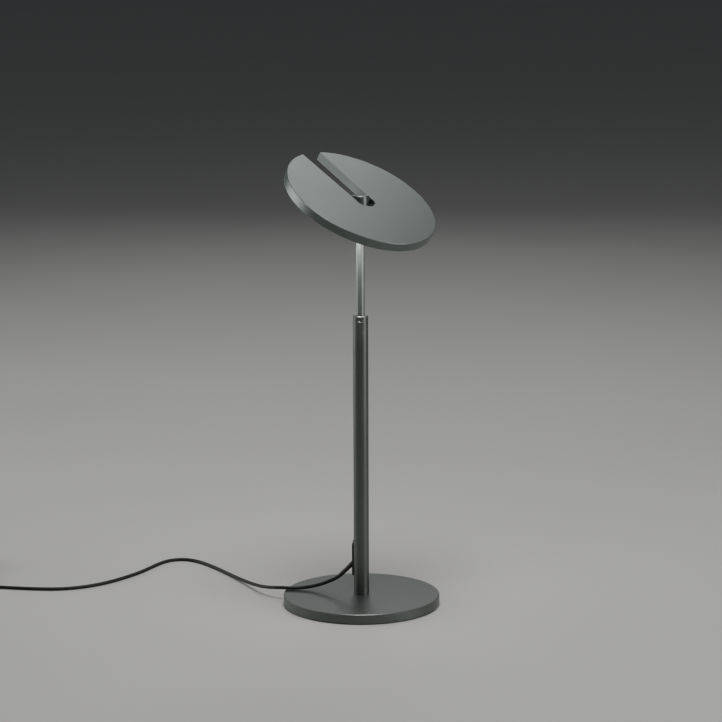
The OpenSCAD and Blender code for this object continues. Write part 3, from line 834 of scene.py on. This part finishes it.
def make_curly_lead():
    """Coiled stretch of cord inside the column, in one fixed shape."""
    low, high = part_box("coiled_lead")
    wire_r = 1.2 * MM
    ring_r = high.x - wire_r
    steps = 20
    bm = bmesh.new()
    ring = bmesh.ops.create_circle(bm, segments=10, radius=wire_r, cap_ends=False)["verts"]
    stand = Matrix.Translation((ring_r, 0, low.z + wire_r)) @ Matrix.Rotation(math.pi / 2, 4, "X")
    bmesh.ops.transform(bm, matrix=stand, verts=ring)
    first = bm.edges[:]
    rise = (high.z - low.z - 2 * wire_r) / (CURLS * steps)
    wound = bmesh.ops.spin(
        bm, geom=ring + first, cent=(0, 0, 0), axis=(0, 0, 1), dvec=(0, 0, rise),
        angle=CURLS * 2 * math.pi, steps=CURLS * steps, use_merge=False, use_duplicate=False)
    last = [e for e in wound["geom_last"] if isinstance(e, bmesh.types.BMEdge)]
    for loop in (first, last):
        bmesh.ops.contextual_create(bm, geom=loop)
    piece = finish_piece(bm, "curly_lead", None, "lead_black", replaces=["coiled_lead"])
    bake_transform(piece)


def make_tie():
    """Strap wrapped once round the coil's turns."""
    bm = bmesh.new()
    low, high = coil_low.z - TIE_T, coil_high.z + TIE_T
    half = (coil_high.x - coil_low.x) / 2 - COIL_R + TIE_T
    size = Vector((2 * half, TIE_W, high - low))
    centre = Vector((COIL_R, 0, (low + high) / 2))
    outer = bmesh.ops.create_cube(bm, size=1)["verts"]
    bmesh.ops.scale(bm, vec=size, verts=outer)
    ends = [f for f in bm.faces if abs(f.normal.y) > 0.9]
    bmesh.ops.delete(bm, geom=ends, context="FACES_ONLY")
    corners = [e for e in bm.edges if e.is_manifold]
    bmesh.ops.bevel(
        bm, geom=corners, offset=TIE_BEND, offset_type="OFFSET", segments=5, profile=0.5,
        affect="EDGES", material=-1)
    bmesh.ops.recalc_face_normals(bm, faces=bm.faces)
    bmesh.ops.solidify(bm, geom=bm.faces[:], thickness=TIE_T)
    bmesh.ops.translate(bm, vec=centre, verts=bm.verts)
    tab = Vector((0.5 * size.x, TIE_W * 0.8, TIE_T))
    tab_centre = Vector((COIL_R + 2 * MM, 0, high + TIE_T / 2))
    rounded_block(bm, tab, tab_centre, corner=1.5 * MM, edge=0.2 * MM)
    place = Matrix.Translation(coil_centre) @ Matrix.Rotation(TIE_AZ, 4, "Z")
    return finish_piece(bm, "coil_tie", "base", "black_plastic", place, ["lead_tie"])


def make_supply():
    """Plug-in supply: two housing halves with a seam between them, and grip ribs on its sides."""
    bm = bmesh.new()
    start = TAIL_L - 1 * MM
    seam = 0.25 * MM
    corner = 4 * MM
    middle = SUPPLY.z / 2
    for low, high, edge in ((0, middle - seam, 0.5 * MM), (middle, SUPPLY.z, 0.8 * MM)):
        size = Vector((SUPPLY.x, SUPPLY.y, high - low))
        centre = Vector((start + SUPPLY.x / 2, 0, (low + high) / 2))
        rounded_block(bm, size, centre, corner, edge)
    core = SUPPLY - Vector((1, 1, 8)) * MM
    rounded_block(bm, core, Vector((start + SUPPLY.x / 2, 0, middle)), corner, edge=0.3 * MM)
    for side in (1, -1):
        for k in range(RIBS):
            at = Vector((start + RIB_START + k * RIB_PITCH, side * SUPPLY.y / 2, middle))
            rounded_block(bm, RIB, at, corner=0.3 * MM, edge=0.2 * MM)
    return finish_piece(bm, "supply_housing", "base", "black_plastic", tail_place(), ["supply_body"])


def make_supply_sleeve():
    """Tapered sleeve where the lead enters the supply."""
    bm = bmesh.new()
    flange_r = 3.4 * MM
    root_r = 3 * MM
    tip_r = 2.5 * MM
    tip_round = 0.2 * MM
    flange_end = 2 * MM
    root_start = 2.6 * MM
    root_end = 4 * MM
    tip_start = 11 * MM
    end = 11.4 * MM
    outline = [(0, 0), (flange_r, 0), (flange_r, flange_end), (root_r, root_start), (root_r, root_end),
               (tip_r, tip_start), (tip_r - tip_round, end), (0, end)]
    spin_outline(bm, outline, steps=36)
    entry = Matrix.Translation((TAIL_L + 0.5 * MM, 0, SUPPLY.z / 2)) @ Matrix.Rotation(-math.pi / 2, 4, "Y")
    return finish_piece(bm, "supply_sleeve", "base", "black_plastic", tail_place() @ entry)


def make_contacts():
    """Two round contacts, black sleeves nearest the housing and bare rounded ends."""
    made = []
    sleeve_end = CONTACT_L * CONTACT_SLEEVE
    for name, slot, low, high, r, replaces in (
            ("contact_sleeves", "black_plastic", -1 * MM, sleeve_end, SLEEVE_R, ()),
            ("contact_pins", "steel", -1 * MM, CONTACT_L, PIN_R, ["supply_contacts"])):
        bm = bmesh.new()
        for side in (1, -1):
            pin = bmesh.new()
            start = sleeve_end if slot == "steel" else low
            spin_outline(pin, [(0, start), (r, start), (r, high), (0, high)], steps=32)
            soften(pin, 0.9 * MM if slot == "steel" else 0.1 * MM, segments=4,
                   only=lambda e: min(v.co.z for v in e.verts) > high - NEAR)
            shift = Matrix.Translation((TAIL_L - MM + SUPPLY.x, side * CONTACT_PITCH / 2, SUPPLY.z / 2))
            bmesh.ops.transform(pin, matrix=shift @ Matrix.Rotation(math.pi / 2, 4, "Y"), verts=pin.verts)
            spare = bpy.data.meshes.new("spare")
            pin.to_mesh(spare)
            pin.free()
            bm.from_mesh(spare)
            bpy.data.meshes.remove(spare)
        made.append(finish_piece(bm, name, "base", slot, tail_place(), replaces))
    return made


def make_floor():
    bm = bmesh.new()
    bmesh.ops.create_grid(bm, x_segments=1, y_segments=1, size=FLOOR_HALF)
    mesh = bpy.data.meshes.new("floor")
    bm.to_mesh(mesh)
    bm.free()
    mesh.materials.append(floor_paint())
    add_object("floor", mesh)


make_camera()
make_studio()
make_floor()
dress_frame()
make_base()
make_column()
make_head()
make_outlet()
make_button()
make_curly_lead()
relief = make_relief()
lead = make_lead()
on_lead = [relief, make_tie(), make_supply(), make_supply_sleeve(), *make_contacts()]
